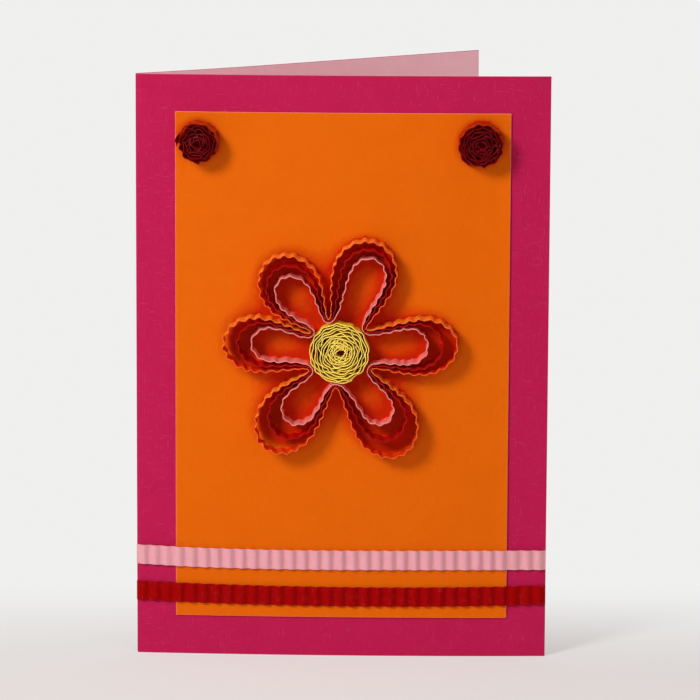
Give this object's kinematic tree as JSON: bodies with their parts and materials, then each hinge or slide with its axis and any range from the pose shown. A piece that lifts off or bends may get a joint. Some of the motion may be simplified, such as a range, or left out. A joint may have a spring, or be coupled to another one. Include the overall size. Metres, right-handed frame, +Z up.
{
  "type": "quilled greeting card",
  "caption": "Upright folded greeting card with a glued front panel, a flower of crimped paper strips on edge, rolled corner dots and ribbed bands.",
  "frame": {"origin": "middle of the standing card's outer box, on the surface it stands on", "axes": "+Z up, -Y out of the decorated front, -X towards the fold"},
  "size_m": [0.105, 0.068, 0.15],
  "materials": {
    "cerise_card": "matt dyed card, light pink on the inside of the fold",
    "orange_card": "matt dyed card",
    "orange_paper": "crimped dyed paper",
    "dark_red_paper": "crimped paper with a slight gloss",
    "pink_paper": "crimped paper with a satin sheen",
    "yellow_paper": "crimped dyed paper"
  },
  "bodies": {
    "root": {"folded_card": "cerise_card", "orange_panel": "orange_card", "orange_petal_strip": "orange_paper", "red_petal_strip": "dark_red_paper", "pink_petal_strip": "pink_paper", "yellow_centre_roll": "yellow_paper", "left_corner_roll": "dark_red_paper", "right_corner_roll": "dark_red_paper", "pink_band": "pink_paper", "red_band": "dark_red_paper"}
  },
  "joints": []
}
